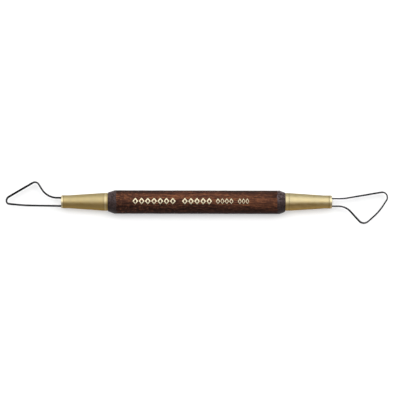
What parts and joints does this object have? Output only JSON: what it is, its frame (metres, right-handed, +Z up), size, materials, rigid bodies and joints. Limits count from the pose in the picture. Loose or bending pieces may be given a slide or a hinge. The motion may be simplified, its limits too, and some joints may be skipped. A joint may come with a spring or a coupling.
{
  "type": "clay ribbon tool",
  "caption": "Double-ended clay trimming tool: a dark wood handle with tapered brass ferrules that hold bent steel ribbon cutting loops.",
  "frame": {"origin": "on the lowest line of the round handle, at the middle of its length, where the tool rests", "axes": "+X along the tool towards the right loop, +Y across it in the plane of both loops, towards the left loop's wide side, +Z up, square to the loops"},
  "size_m": [0.2032, 0.0222, 0.0122],
  "materials": {
    "stained_wood": "satin, dark reddish brown stain over open grain",
    "black_lacquer": "satin brown-black dipped lacquer",
    "satin_brass": "satin, lathe-turned",
    "blued_steel": "dark blued spring steel",
    "set_adhesive": "glossy amber"
  },
  "bodies": {
    "root": {"handle": "stained_wood", "left_end_lacquer": "black_lacquer", "right_end_lacquer": "black_lacquer", "left_ferrule": "satin_brass", "right_ferrule": "satin_brass", "left_loop_ribbon": "blued_steel", "right_loop_ribbon": "blued_steel", "left_adhesive_plug": "set_adhesive", "right_adhesive_plug": "set_adhesive"}
  },
  "joints": []
}
